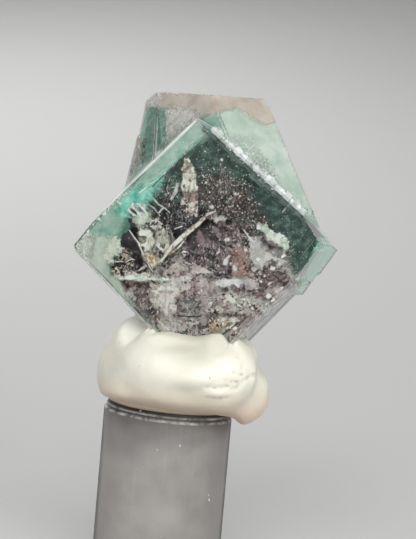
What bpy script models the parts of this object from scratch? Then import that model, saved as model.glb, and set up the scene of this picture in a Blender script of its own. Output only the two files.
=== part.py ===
"""A small fluorite specimen held by putty on top of a round post.

The crystal is one solid. Its front is a cube-shaped block that shows a square
face standing on one corner. A second crystal with a flat cleaved top has grown
through it from behind. The putty is pressed round the lower corner of the
block and sits on the post, whose lower end is cut square.
"""

import math
import random

import bmesh
import bpy
from mathutils import Euler, Matrix, Vector

MM = 0.001
GAP = 0.3 * MM

# Post: a quarter-inch rod standing on the origin, with a top that was cut a little slanted
POST_RADIUS = 3.175 * MM
POST_HEIGHT = 7.4 * MM
POST_CHAMFER = 0.22 * MM
POST_FOOT_CHAMFER = 0.08 * MM
POST_TOP_SLANT = math.radians(1.5)
POST_SEGMENTS = 36
SAW_SIZE = Vector((12.0, 12.0, 4.0)) * MM
RIM_ANGLE = math.radians(60.0)

# Crystal: the centre of the block's front face, measured from the centre of the
# post's top, and how the block is turned
FACE_CENTRE = Vector((0.8, -4.4, 8.45)) * MM
FACE_TURN = math.radians(-13.0)
FACE_LEAN = math.radians(-4.5)
FACE_SPIN = math.radians(-6.0)

# Front block: how far its faces lie from the centre of the front face
BLOCK_DEPTH = 7.4 * MM
WALL_UPPER_LEFT = 4.48 * MM
WALL_UPPER_RIGHT = 4.35 * MM
WALL_LOWER_LEFT = 4.33 * MM
WALL_LOWER_RIGHT = 4.32 * MM
EDGE_BEVEL = 0.13 * MM

# Blanks that the crystals are cut from, each a size and a centre
BLOCK_BLANK = (Vector((16.0, 12.0, 16.0)) * MM, Vector((0.0, 3.0, 0.0)) * MM)
REAR_BLANK = (Vector((20.0, 20.0, 20.0)) * MM, Vector((0.0, 6.0, 4.0)) * MM)

# Worn tips and slightly swung stretches of the walls: the clock direction each
# faces, in degrees, with its distance in millimetres and how far it leans back
WORN_FACES = {
    "left_stretch": (310.0, 4.69, 0.0),
    "left_tip": (268.0, 5.98, 0.0),
    "top_tip": (357.0, 6.02, 0.0),
    "right_shoulder": (57.0, 4.87, 0.0),
    "back_shoulder": (50.0, 4.70, 0.055),
    "right_tip": (95.0, 5.74, -0.02),
    "mint_wall": (126.0, 4.60, 0.035),
}

# Rear crystal: each face by its distance from the same centre, in millimetres,
# its turn to the right of the view and its lift above the level, in degrees
REAR_FACES = {
    "cleaved_top": (7.11, 37.0, 81.5),
    "pale_front": (1.51, 42.0, 33.5),
    "teal_facet": (-2.04, -26.0, 10.7),
    "speckled_front": (-1.02, -30.0, 17.5),
    "left_strip": (-0.11, -50.0, 8.0),
    "top_left_corner": (9.32, -96.0, 68.5),
    "left_side": (8.04, -107.0, 13.0),
    "top_right_corner": (7.36, 107.0, 34.5),
    "right_side": (5.95, 107.0, 17.5),
    "back": (9.8, 172.0, 9.0),
    "back_cleavage": (10.9, 140.0, 35.0),
    "underside": (2.5, 168.0, -70.0),
    "buried_front": (-1.3, 0.0, 0.0),
    "buried_right": (4.1, 90.0, -36.0),
}

# Two shelves that step out below one another on the rear crystal's left flank
SHELF_FACES = {
    "top": (7.35, -84.0, 52.0),
    "outer_side": (8.28, -107.0, 17.0),
    "front": (0.05, -50.0, 8.0),
    "back": (8.0, 180.0, 4.0),
    "inner_side": (-3.5, 90.0, 0.0),
    "underside": (-1.5, 0.0, -90.0),
}
SHELF_COUNT = 2
SHELF_DROP = 1.15 * MM
SHELF_OUTSET = 0.16 * MM
SHELF_SETBACK = 0.112 * MM

# Boxes that cut steps and cracks along the walls. Each has the clock direction of
# its wall in degrees, the place of its centre (outward, along the wall, into the
# stone), its size (along, into the stone, outward) in millimetres, and its tilt in
# radians. The first three break up the back of the block.
BACK_STEPS = {
    "back_step_0": (150.0, (4.9, 0.3, 7.4), (9.0, 1.9, 3.4), 0.0),
    "back_step_1": (215.0, (4.3, 0.3, 7.7), (9.0, 1.9, 3.4), 0.12),
    "back_step_2": (262.0, (4.9, 0.3, 7.2), (9.0, 1.9, 3.4), 0.24),
}
LOWER_STEP_BOX = (135.0, (4.96, 2.75, 7.1), (8.0, 8.0, 2.0), 0.0)
WALL_CRACK_BOX = (135.0, (4.34, -1.95, 3.0), (0.26, 9.0, 0.42), 0.6)
RIGHT_NICK_BOX = (60.0, (5.62, -2.15, 6.2), (0.5, 3.0, 0.5), 0.5)

# Rows of broken cubes: the ones on the junction run along the block's upper right
# wall between two places (outward, along, into the stone), and the chips run along
# the rear crystal's top edge between two points; all in millimetres
JUNCTION_CLOCK = 42.6
JUNCTION_START = (4.34, -3.9, 2.75)
JUNCTION_END = (4.32, 2.2, 2.85)
JUNCTION_COUNT = 24
JUNCTION_SIZE = 0.32 * MM
CHIPS_START = Vector((-3.3, 6.2, 8.27)) * MM
CHIPS_END = Vector((-0.25, 4.3, 7.75)) * MM
CHIPS_COUNT = 9
CHIPS_SIZE = 0.22 * MM
CRUMB_SCATTER = 0.25
CRUMB_TURN = 0.5
CRUMB_WIDTHS = (0.6, 1.1)
CRUMB_DEPTH = 0.8

# Putty: soft lumps, each a centre measured from the centre of the post's top,
# and three half sizes, in millimetres
PUTTY_LUMPS = {
    "middle": ((0.5, -0.8, 1.7), (4.0, 4.45, 1.75)),
    "left_wing": ((-1.7, -0.7, 2.1), (2.0, 4.05, 2.0)),
    "left_foot": ((-1.8, -0.8, 1.2), (1.8, 3.9, 0.95)),
    "left_crest": ((-1.75, -0.6, 3.25), (1.35, 3.3, 1.45)),
    "right_bulge": ((3.25, -1.0, 1.35), (1.75, 3.5, 1.6)),
    "right_crest": ((3.05, -0.9, 2.7), (1.12, 3.2, 1.15)),
    "front_belly": ((0.6, -3.7, 2.0), (2.9, 2.2, 1.5)),
    "lip_left": ((0.2, -4.3, 2.95), (2.4, 1.7, 1.85)),
    "lip_right": ((1.95, -4.4, 2.75), (2.2, 1.9, 2.05)),
    "creased_lump": ((3.3, -3.1, 3.4), (0.95, 1.1, 1.0)),
    "back_lip": ((0.8, 2.4, 2.25), (2.9, 1.7, 1.6)),
}
LUMP_SEGMENTS = 24
LUMP_RINGS = 14
PUTTY_VOXEL = 0.36 * MM
PUTTY_SMOOTHING = 6
PUTTY_SOFTNESS = 0.5
SEAT_OVERHANG = 0.6 * MM
SEAT_DEPTH = 6 * MM

SEED = 12


def clear_scene():
    for old in list(bpy.data.objects):
        bpy.data.objects.remove(old)


def new_collection(name):
    collection = bpy.data.collections.new(name)
    bpy.context.scene.collection.children.link(collection)
    return collection


def finish_material(name, colour, roughness, transmission=0.0, ior=1.45):
    material = bpy.data.materials.new(name)
    material.use_nodes = True
    shader = material.node_tree.nodes["Principled BSDF"]
    shader.inputs["Base Color"].default_value = (*colour, 1.0)
    shader.inputs["Roughness"].default_value = roughness
    shader.inputs["Metallic"].default_value = 0.0
    shader.inputs["Transmission Weight"].default_value = transmission
    shader.inputs["IOR"].default_value = ior
    material.diffuse_color = (*colour, 1.0)
    return material


def mesh_object(name, shape, collection):
    mesh = bpy.data.meshes.new(name)
    shape.to_mesh(mesh)
    shape.free()
    made = bpy.data.objects.new(name, mesh)
    collection.objects.link(made)
    return made


def mark_as_cutter(cutter):
    cutter.hide_render = True
    cutter.display_type = "WIRE"


def add_boolean(target, cutter, operation, overlapping=False):
    """Join or cut by a closed shape; overlapping is for one made of lumps that run into each other."""
    modifier = target.modifiers.new(cutter.name, "BOOLEAN")
    modifier.operation = operation
    modifier.solver = "EXACT"
    modifier.use_self = overlapping
    modifier.object = cutter


def facing(turn, lift):
    """The unit direction that points turn degrees to the right and lift degrees up."""
    turn = math.radians(turn)
    lift = math.radians(lift)
    return Vector((
        math.sin(turn) * math.cos(lift),
        -math.cos(turn) * math.cos(lift),
        math.sin(lift),
    ))


def across(clock):
    """The unit direction in the front face's plane, clock degrees clockwise from the top."""
    clock = math.radians(clock)
    return Vector((math.sin(clock), 0.0, math.cos(clock)))


def cut_flat(shape, normal, distance):
    """Slice a closed shape by a plane, drop the outer side and close the cut."""
    everything = shape.verts[:] + shape.edges[:] + shape.faces[:]
    cut = bmesh.ops.bisect_plane(
        shape, geom=everything, dist=0.00001 * MM,
        plane_co=normal * distance, plane_no=normal, clear_outer=True,
    )
    rim = [part for part in cut["geom_cut"] if isinstance(part, bmesh.types.BMEdge)]
    if rim:
        bmesh.ops.holes_fill(shape, edges=rim, sides=0)


def cube_shape(size, centre, turned=None):
    """A closed box of the given size, turned about its own centre and then placed."""
    shape = bmesh.new()
    placed = Matrix.Translation(centre) @ (turned or Matrix.Identity(4)) @ Matrix.Diagonal((*size, 1.0))
    bmesh.ops.create_cube(shape, size=1.0, matrix=placed)
    return shape


def square_on_corner():
    """The turn that brings a level cube onto one edge, as the block stands."""
    return Matrix.Rotation(math.radians(45.0), 4, "Y")


def block_shape(grow=0.0):
    """The front block: a cube with its walls, thin bevels and worn tips cut as planes."""
    shape = cube_shape(*BLOCK_BLANK)
    walls = {
        42.6: WALL_UPPER_RIGHT,
        135.0: WALL_LOWER_RIGHT,
        225.0: WALL_LOWER_LEFT,
        317.3: WALL_UPPER_LEFT,
    }
    front = Vector((0.0, -1.0, 0.0))
    cut_flat(shape, front, grow)
    cut_flat(shape, -front, BLOCK_DEPTH + grow)
    for clock, distance in walls.items():
        cut_flat(shape, across(clock), distance + grow)
    for clock, distance, lean in WORN_FACES.values():
        outward = (across(clock) - front * lean).normalized()
        cut_flat(shape, outward, distance * MM + grow)
    for clock, distance in walls.items():
        bevel = (front + across(clock)).normalized()
        cut_flat(shape, bevel, (distance - EDGE_BEVEL) * math.sqrt(0.5) + grow)
    return shape


def cut_cube(faces):
    """A cube cut back to a set of faces, each a distance, a turn and a lift."""
    shape = cube_shape(*REAR_BLANK)
    for distance, turn, lift in faces.values():
        cut_flat(shape, facing(turn, lift), distance * MM)
    return shape


def on_wall(clock, place):
    """A point from its distances outward, along the wall and into the stone, in millimetres."""
    outward, along, depth = place
    point = across(clock) * outward + across(clock + 90.0) * along + Vector((0.0, depth, 0.0))
    return point * MM


def wall_box(name, box, collection, crystal_axes):
    """A box lying along a wall of the block, to cut by."""
    clock, place, size, tilt = box
    spin = Matrix.Rotation(math.radians(clock) + tilt, 4, "Y")
    cutter = mesh_object(name, cube_shape(Vector(size) * MM, on_wall(clock, place), spin), collection)
    cutter.parent = crystal_axes
    mark_as_cutter(cutter)
    return cutter


def crumbs(name, count, start, end, size, seed, collection, crystal_axes):
    """A row of small broken cubes along a line, joined into one shape for a Boolean."""
    draw = random.Random(seed)
    shape = bmesh.new()
    for number in range(count):
        share = (number + 0.5) / count
        centre = start.lerp(end, share)
        centre += Vector([draw.uniform(-CRUMB_SCATTER, CRUMB_SCATTER) * size for _ in range(3)])
        turn = Euler([draw.uniform(-CRUMB_TURN, CRUMB_TURN) for _ in range(3)]).to_matrix().to_4x4()
        width = size * draw.uniform(*CRUMB_WIDTHS)
        lump = Matrix.Translation(centre) @ turn @ Matrix.Diagonal((width, width * CRUMB_DEPTH, width, 1.0))
        bmesh.ops.create_cube(shape, size=1.0, matrix=lump @ square_on_corner())
    row = mesh_object(name, shape, collection)
    row.parent = crystal_axes
    mark_as_cutter(row)
    return row


def make_crystal(parts, cutters, crystal_axes):
    crystal = mesh_object("fluorite_crystal", block_shape(), parts)
    crystal.parent = crystal_axes
    green = finish_material("pale_green_fluorite", (0.62, 0.86, 0.74), 0.05, transmission=1.0, ior=1.434)
    crystal.data.materials.append(green)

    # Cleavage steps on the back of the block
    for name, box in BACK_STEPS.items():
        add_boolean(crystal, wall_box(name, box, cutters, crystal_axes), "DIFFERENCE")

    # The rear crystal, with its shelves on the left
    rear = mesh_object("rear_crystal", cut_cube(REAR_FACES), cutters)
    rear.parent = crystal_axes
    mark_as_cutter(rear)
    add_boolean(crystal, rear, "UNION")
    for number in range(SHELF_COUNT):
        shelf = mesh_object(f"shelf_{number}", cut_cube(SHELF_FACES), cutters)
        shelf.parent = crystal_axes
        shelf.location = Vector((-SHELF_OUTSET, SHELF_SETBACK, -SHELF_DROP)) * number
        mark_as_cutter(shelf)
        add_boolean(crystal, shelf, "UNION")

    # The lower right wall steps back behind its front strip, and is cracked above it
    add_boolean(crystal, wall_box("lower_step", LOWER_STEP_BOX, cutters, crystal_axes), "DIFFERENCE")
    add_boolean(crystal, wall_box("wall_crack", WALL_CRACK_BOX, cutters, crystal_axes), "DIFFERENCE")

    # Crumbly steps where the pale front face meets the block's upper right wall
    glitter = crumbs(
        "junction_crumbs", JUNCTION_COUNT, on_wall(JUNCTION_CLOCK, JUNCTION_START),
        on_wall(JUNCTION_CLOCK, JUNCTION_END), JUNCTION_SIZE, SEED, cutters, crystal_axes,
    )
    add_boolean(crystal, glitter, "UNION", overlapping=True)

    # Small chips out of the rear crystal's top edge, and a nick in its right-hand edge
    chips = crumbs(
        "top_chips", CHIPS_COUNT, CHIPS_START, CHIPS_END, CHIPS_SIZE, SEED + 1, cutters, crystal_axes,
    )
    add_boolean(crystal, chips, "DIFFERENCE", overlapping=True)
    add_boolean(crystal, wall_box("right_nick", RIGHT_NICK_BOX, cutters, crystal_axes), "DIFFERENCE")
    return crystal


def make_post(parts, cutters):
    """The rod, turned from a profile that runs from the axis down its outer side."""
    top = POST_HEIGHT + POST_RADIUS * math.tan(POST_TOP_SLANT)
    outline = [
        (0.0, top),
        (POST_RADIUS, top),
        (POST_RADIUS, POST_FOOT_CHAMFER),
        (POST_RADIUS - POST_FOOT_CHAMFER, 0.0),
        (0.0, 0.0),
    ]
    shape = bmesh.new()
    corners = [shape.verts.new((x, 0.0, z)) for x, z in outline]
    for first, second in zip(corners, corners[1:]):
        shape.edges.new((first, second))
    post = mesh_object("post", shape, parts)
    post.data.materials.append(finish_material("smoky_grey_plastic", (0.26, 0.25, 0.24), 0.42))
    turned = post.modifiers.new("turned", "SCREW")
    turned.axis = "Z"
    turned.angle = math.tau
    turned.steps = POST_SEGMENTS
    turned.render_steps = POST_SEGMENTS
    turned.use_merge_vertices = True
    turned.merge_threshold = 0.001 * MM
    turned.use_smooth_shade = False

    # The slanted cut: a wide box lowered onto the top, higher on the left
    shape = cube_shape(SAW_SIZE, Vector((0.0, 0.0, SAW_SIZE.z / 2)))
    saw = mesh_object("slanted_cut", shape, cutters)
    saw.location = (0.0, 0.0, POST_HEIGHT)
    saw.rotation_euler = (0.0, POST_TOP_SLANT, 0.0)
    mark_as_cutter(saw)
    add_boolean(post, saw, "DIFFERENCE")

    rim = post.modifiers.new("rim_chamfer", "BEVEL")
    rim.width = POST_CHAMFER
    rim.segments = 1
    rim.limit_method = "ANGLE"
    rim.angle_limit = RIM_ANGLE
    return post


def make_putty(parts, cutters, crystal_axes):
    shape = bmesh.new()
    for centre, half_sizes in PUTTY_LUMPS.values():
        place = Matrix.Translation(Vector(centre) * MM + Vector((0.0, 0.0, POST_HEIGHT)))
        placed = place @ Matrix.Diagonal((*(Vector(half_sizes) * MM), 1.0))
        bmesh.ops.create_uvsphere(
            shape, u_segments=LUMP_SEGMENTS, v_segments=LUMP_RINGS, radius=1.0, matrix=placed,
        )
    putty = mesh_object("putty", shape, parts)
    putty.data.materials.append(finish_material("cream_putty", (0.80, 0.77, 0.68), 0.6))
    blend = putty.modifiers.new("kneaded", "REMESH")
    blend.mode = "VOXEL"
    blend.voxel_size = PUTTY_VOXEL
    soften = putty.modifiers.new("softened", "SMOOTH")
    soften.factor = PUTTY_SOFTNESS
    soften.iterations = PUTTY_SMOOTHING

    socket = mesh_object("crystal_socket", block_shape(GAP), cutters)
    socket.parent = crystal_axes
    mark_as_cutter(socket)
    add_boolean(putty, socket, "DIFFERENCE")

    # The putty rests just clear of the post's slanted top and hangs a little past its rim
    shape = bmesh.new()
    bmesh.ops.create_cone(
        shape, cap_ends=True, segments=POST_SEGMENTS, radius1=POST_RADIUS + SEAT_OVERHANG,
        radius2=POST_RADIUS + SEAT_OVERHANG, depth=SEAT_DEPTH,
        matrix=Matrix.Translation((0.0, 0.0, -SEAT_DEPTH / 2)),
    )
    seat = mesh_object("post_seat", shape, cutters)
    seat.location = (0.0, 0.0, POST_HEIGHT + GAP)
    seat.rotation_euler = (0.0, POST_TOP_SLANT, 0.0)
    mark_as_cutter(seat)
    add_boolean(putty, seat, "DIFFERENCE")
    return putty


def main():
    clear_scene()
    parts = new_collection("fluorite_on_post")
    cutters = new_collection("cutters")
    crystal_axes = bpy.data.objects.new("crystal_axes", None)
    cutters.objects.link(crystal_axes)
    crystal_axes.location = FACE_CENTRE + Vector((0.0, 0.0, POST_HEIGHT))
    crystal_axes.rotation_mode = "YXZ"
    crystal_axes.rotation_euler = (FACE_LEAN, FACE_SPIN, FACE_TURN)

    make_post(parts, cutters)
    make_putty(parts, cutters, crystal_axes)
    make_crystal(parts, cutters, crystal_axes)


main()
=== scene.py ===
import math
import random

import bmesh
import bpy
import numpy as np
from mathutils import Euler, Matrix, Vector, noise
from mathutils.bvhtree import BVHTree


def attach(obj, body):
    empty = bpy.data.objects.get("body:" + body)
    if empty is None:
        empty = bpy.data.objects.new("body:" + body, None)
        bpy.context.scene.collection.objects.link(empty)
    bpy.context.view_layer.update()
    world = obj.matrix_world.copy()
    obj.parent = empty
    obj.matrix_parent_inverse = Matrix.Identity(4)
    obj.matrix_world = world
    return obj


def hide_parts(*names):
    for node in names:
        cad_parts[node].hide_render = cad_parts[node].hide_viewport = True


# Lengths are in millimetres and are multiplied by MM where Blender takes metres. Outlines are in
# pixels of the camera's picture.
MM = 0.001

# The photograph's camera.
IMAGE_WIDTH, IMAGE_HEIGHT = 416, 539
FOCAL_PIXELS = 1500.0
SENSOR = 36.0
CAMERA_PLACE = Vector((1.36, -73.77, 19.46))
CAMERA_LIFT = math.radians(86.2)
CAMERA_ROLL = math.radians(5.0)
CAMERA_TURN = Euler((CAMERA_LIFT, 0, 0)).to_matrix() @ Euler((0, 0, CAMERA_ROLL)).to_matrix()

# The post, whose width in the picture gives the size of a pixel there.
POST_HEIGHT = 7.4
POST_RADIUS = 3.175
POST_PIXELS = 128
PIXEL = 2 * POST_RADIUS / POST_PIXELS

# The crystal stands square in its own frame: x right, y away from the camera, z up, origin at the
# middle of the square face.
FACE_CENTRE = Vector((0.8, -4.4, 8.45 + POST_HEIGHT))
FACE_TURN = Euler([math.radians(a) for a in (-4.5, -6.0, -13.0)], "YXZ").to_matrix()
REFRACTION = 1.434

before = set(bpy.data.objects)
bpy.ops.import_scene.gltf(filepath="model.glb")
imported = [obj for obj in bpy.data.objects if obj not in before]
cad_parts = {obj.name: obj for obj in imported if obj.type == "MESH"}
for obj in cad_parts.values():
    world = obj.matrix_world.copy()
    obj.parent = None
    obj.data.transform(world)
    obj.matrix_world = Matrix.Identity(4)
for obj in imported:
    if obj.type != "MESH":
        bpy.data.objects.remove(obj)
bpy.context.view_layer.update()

# The square face as a window: a point on it and the direction it looks, in the part's frame.
FRONT = (FACE_CENTRE, FACE_TURN @ Vector((0, -1, 0)))

# What lies in the stone keeps this clear of its surface.
CLEARANCE = 0.035
STONE_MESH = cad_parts["fluorite_crystal"].data
STONE = BVHTree.FromPolygons([v.co / MM for v in STONE_MESH.vertices],
                             [p.vertices for p in STONE_MESH.polygons])


def inside_stone(place):
    """Whether a place lies in the crystal, clear of its surface."""
    nearest, normal, _, distance = STONE.find_nearest(place)
    return (place - nearest).dot(normal) < 0 and distance > CLEARANCE


def sight(x, y):
    """The direction in which the camera looks through a pixel."""
    out = Vector(((x - IMAGE_WIDTH / 2) / FOCAL_PIXELS, (IMAGE_HEIGHT / 2 - y) / FOCAL_PIXELS, -1))
    return (CAMERA_TURN @ out).normalized()


def face_seen(x, y):
    """The direction of the face that shows at this pixel, or None."""
    return STONE.ray_cast(CAMERA_PLACE, sight(x, y))[1]


def seen_at(x, y, depth, window=None):
    """The place that shows at this pixel through the stone's refraction, depth below the window's plane,
    or below the face that is seen there when there is no window; None beside the crystal."""
    ray = sight(x, y)
    if window is None:
        entry, normal, _, _ = STONE.ray_cast(CAMERA_PLACE, ray)
        if entry is None:
            return None
    else:
        point, normal = window
        entry = CAMERA_PLACE + ray * ((point - CAMERA_PLACE).dot(normal) / ray.dot(normal))
    cosine = -ray.dot(normal)
    inner = math.sqrt(1 - (1 - cosine ** 2) / REFRACTION ** 2)
    bent = ray / REFRACTION + normal * (cosine / REFRACTION - inner)
    return entry + bent * (depth / inner)


# Building blocks for pieces.

def add_object(name, data):
    made = bpy.data.objects.new(name, data)
    bpy.context.scene.collection.objects.link(made)
    return made


def new_mesh(name, points, faces):
    """A mesh in the part's frame from points in millimetres."""
    mesh = bpy.data.meshes.new(name)
    mesh.from_pydata([tuple(c * MM for c in p) for p in points], [], faces)
    mesh.update()
    return mesh


def mesh_piece(name, points, faces, material, smooth=True):
    """A piece of the part from points in millimetres."""
    mesh = new_mesh(name, points, faces)
    if smooth:
        mesh.shade_smooth()
    mesh.materials.append(material)
    piece = add_object(name, mesh)
    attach(piece, "root")
    return piece


def point_values(mesh, name, values):
    """A number at each point of a mesh, which materials read by its name."""
    made = mesh.attributes.new(name, "FLOAT", "POINT")
    made.data.foreach_set("value", np.array(values, np.float32))


# Building blocks for materials.

def set_inputs(tree, node, inputs):
    """Give a node's inputs their values, or link them where the value is a socket."""
    for key, value in inputs.items():
        if isinstance(value, bpy.types.NodeSocket):
            tree.links.new(value, node.inputs[key])
        else:
            node.inputs[key].default_value = value


def new_material(name):
    material = bpy.data.materials.new(name)
    material.use_nodes = True
    return material, material.node_tree, material.node_tree.nodes["Principled BSDF"]


def add_node(tree, kind, inputs=None, **settings):
    made = tree.nodes.new(kind)
    for key, value in settings.items():
        setattr(made, key, value)
    set_inputs(tree, made, inputs or {})
    return made


def point_value(tree, name):
    return add_node(tree, "ShaderNodeAttribute", attribute_name=name).outputs["Fac"]


def object_place(tree):
    return add_node(tree, "ShaderNodeTexCoord").outputs["Object"]


def scaled_place(tree, size, stretch=(1, 1, 1), turn=(0, 0, 0)):
    """Object coordinates with size millimetres as one unit, stretched, and turned by degrees."""
    return add_node(tree, "ShaderNodeMapping", {
        "Vector": object_place(tree),
        "Scale": [s / (size * MM) for s in stretch],
        "Rotation": [math.radians(a) for a in turn]}).outputs[0]


def noise_value(tree, size, detail=4.0, roughness=0.55, distortion=0.0, **mapping):
    """Noise with features about size millimetres across, 0 to 1."""
    return add_node(tree, "ShaderNodeTexNoise", {
        "Vector": scaled_place(tree, size, **mapping), "Scale": 1.0, "Detail": detail,
        "Roughness": roughness, "Distortion": distortion}).outputs["Fac"]


def shard_value(tree, size):
    """Broken angular patches about size millimetres across over fine mottling, 0 to 1."""
    place = scaled_place(tree, size)
    swirl = add_node(tree, "ShaderNodeTexNoise", {"Vector": place, "Scale": 1.3, "Detail": 4.0})
    moved = add_node(tree, "ShaderNodeMix", {0: 0.5, 4: place, 5: swirl.outputs["Color"]},
                     data_type="VECTOR")
    cells = add_node(tree, "ShaderNodeTexVoronoi", {"Vector": moved.outputs[1], "Scale": 1.6},
                     distance="MANHATTAN")
    tone = add_node(tree, "ShaderNodeSeparateXYZ", {0: cells.outputs["Color"]}).outputs[0]
    fine = noise_value(tree, size * 0.8, detail=8, roughness=0.7)
    return maths(tree, "ADD", maths(tree, "MULTIPLY", tone, 0.4), maths(tree, "MULTIPLY", fine, 0.6))


def tones(low, high, start=0.35, end=0.65):
    """A ramp's stops from one colour to another, over this stretch of its value."""
    return [(start, low), (end, high)]


def ramp(tree, value, stops):
    """A colour ramp; each stop is a position and a colour."""
    made = add_node(tree, "ShaderNodeValToRGB", {"Fac": value})
    elements = made.color_ramp.elements
    while len(elements) < len(stops):
        elements.new(0.5)
    for element, (position, colour) in zip(elements, stops):
        element.position = position
        element.color = (*colour, 1)
    return made.outputs["Color"]


def spread(tree, value, low, high, to_low=0.0, to_high=1.0):
    return add_node(tree, "ShaderNodeMapRange", {"Value": value, "From Min": low, "From Max": high,
                                                 "To Min": to_low, "To Max": to_high}).outputs["Result"]


def maths(tree, operation, a, b=0.0):
    return add_node(tree, "ShaderNodeMath", {0: a, 1: b}, operation=operation).outputs[0]


def mix(tree, share, under, over):
    """A colour socket, covered by another colour where the share is 1."""
    return add_node(tree, "ShaderNodeMix", {0: share, 6: under, 7: (*over, 1)},
                    data_type="RGBA", clamp_factor=True).outputs[2]


def bump(tree, shader, height, strength, distance):
    """Relief from a height value; distance is in millimetres."""
    made = add_node(tree, "ShaderNodeBump", {"Height": height, "Strength": strength,
                                             "Distance": distance * MM})
    tree.links.new(made.outputs["Normal"], shader.inputs["Normal"])


# The clear crystal.

# What the stone's body lets through, and how much of the rest it takes from each metre of light.
STONE_TINT = (0.2, 0.88, 0.55, 1)
STONE_DENSITY = 25.0
WELD = 0.01
EDGE_WEAR = 0.06
EDGE_FROSTING = 0.8
LONG_EDGE = 0.3
SHARP_EDGE = math.radians(15)
FLAT_EDGE = math.radians(1)
# The bevels of the square face by their clock angle, and how frosted each is. A face is one of them
# where it turns the same way and lies near the front.
BEVELS = [(42.6, 0.0), (135.0, 0.2), (225.0, 0.5), (317.3, 0.85)]
SAME_BEVEL = 0.985
BEVEL_BACK = 0.3
# The crumbs where the rear crystal meets the block's upper right bevel: how large they may be, how far
# out and how far back they lie, and how frosted they are.
CRUMB_CLOCK = math.radians(42.6)
CRUMB_AREA = 0.12
CRUMB_OUT = (3.9, 4.9)
CRUMB_BACK = (2.2, 3.5)
CRUMB_FROSTING = 0.95


def glass_material():
    """Clear green stone, scratched and cloudy by the wear value."""
    material, tree, shader = new_material("fluorite glass")
    # The plain values hold where a reader of the material follows no links.
    set_inputs(tree, shader, {"IOR": REFRACTION, "Transmission Weight": 1.0, "Roughness": 0.02,
                              "Base Color": (1, 1, 1, 1)})
    scratches = spread(tree, noise_value(tree, 0.25, detail=6), 0.3, 0.6, 0.6, 1.0)
    worn = maths(tree, "MULTIPLY", point_value(tree, "wear"), scratches)
    set_inputs(tree, shader, {"Roughness": spread(tree, worn, 0, 1, 0.02, 0.5),
                              "Transmission Weight": spread(tree, worn, 0, 1, 1.0, 0.35),
                              "Base Color": ramp(tree, worn, tones((1, 1, 1), (0.93, 0.97, 0.95), 0, 1))})
    bump(tree, shader, noise_value(tree, 1.1, detail=3), 0.35, 0.02)
    absorb = add_node(tree, "ShaderNodeVolumeAbsorption", {"Color": STONE_TINT, "Density": STONE_DENSITY})
    tree.links.new(absorb.outputs[0], tree.nodes["Material Output"].inputs["Volume"])
    return material


def clock_direction(clock, back=0.0):
    """A direction in the crystal's frame by its clock angle round the square face."""
    return Vector((math.sin(clock), back, math.cos(clock)))


def frosting(face):
    """How worn a face of the CAD crystal is: its bevels and the crumbs on the junction are frosted."""
    normal = FACE_TURN.transposed() @ face.normal
    place = FACE_TURN.transposed() @ (face.calc_center_median() / MM - FACE_CENTRE)
    for clock, worn in BEVELS:
        bevel = clock_direction(math.radians(clock), back=-1).normalized()
        if normal.dot(bevel) > SAME_BEVEL and place.y < BEVEL_BACK:
            return worn
    outward = place.dot(clock_direction(CRUMB_CLOCK))
    small = face.calc_area() / MM ** 2 < CRUMB_AREA
    if small and CRUMB_OUT[0] < outward < CRUMB_OUT[1] and CRUMB_BACK[0] < place.y < CRUMB_BACK[1]:
        return CRUMB_FROSTING
    return 0.0


def build_crystal():
    """The CAD crystal with its long edges worn to a fine bevel."""
    mesh = STONE_MESH.copy()
    mesh.name = "crystal glass"
    work = bmesh.new()
    work.from_mesh(mesh)
    bmesh.ops.remove_doubles(work, verts=work.verts, dist=WELD * MM)
    bmesh.ops.dissolve_limit(work, angle_limit=FLAT_EDGE, verts=work.verts, edges=work.edges)
    wear = work.faces.layers.float.new("wear")
    for face in work.faces:
        face[wear] = frosting(face)
    sharp = [e for e in work.edges if len(e.link_faces) == 2 and e.calc_length() > LONG_EDGE * MM
             and e.calc_face_angle() > SHARP_EDGE]
    made = bmesh.ops.bevel(work, geom=sharp, offset=EDGE_WEAR * MM, segments=1, profile=0.5,
                           affect="EDGES", clamp_overlap=True)
    for face in made["faces"]:
        face[wear] = EDGE_FROSTING
    bmesh.ops.triangulate(work, faces=[f for f in work.faces if len(f.verts) > 4])
    work.to_mesh(mesh)
    work.free()
    mesh.shade_flat()
    mesh.materials.clear()
    mesh.materials.append(glass_material())
    piece = add_object("crystal_glass", mesh)
    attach(piece, "root")
    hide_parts("fluorite_crystal")


# Materials of what lies in the crystal.

def torn_rim(tree, wave, low, high, reach, edge, solid=1.0):
    """How solid a film is: it grows over edge, in millimetres from its rim, which a wave that mostly
    lies between low and high moves by up to reach."""
    moved = maths(tree, "ADD", point_value(tree, "rim"), spread(tree, wave, low, high, -reach, reach))
    return spread(tree, moved, *edge, 0.0, solid)


def film_material(name, stops, grain, edge=(-0.1, 0.1), solid=1.0, detail=5.0, ragged=0.15, shards=False):
    """A mottled film, fading out at its rim."""
    material, tree, shader = new_material(name)
    if shards:
        value = shard_value(tree, grain)
        bump(tree, shader, value, 0.6, 0.08)
    else:
        value = noise_value(tree, grain, detail=detail)
    wave = noise_value(tree, 0.3, detail=9, roughness=0.72)
    set_inputs(tree, shader, {"Base Color": ramp(tree, value, stops), "Roughness": 0.5,
                              "Alpha": torn_rim(tree, wave, 0.25, 0.75, ragged, edge, solid)})
    return material


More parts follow.
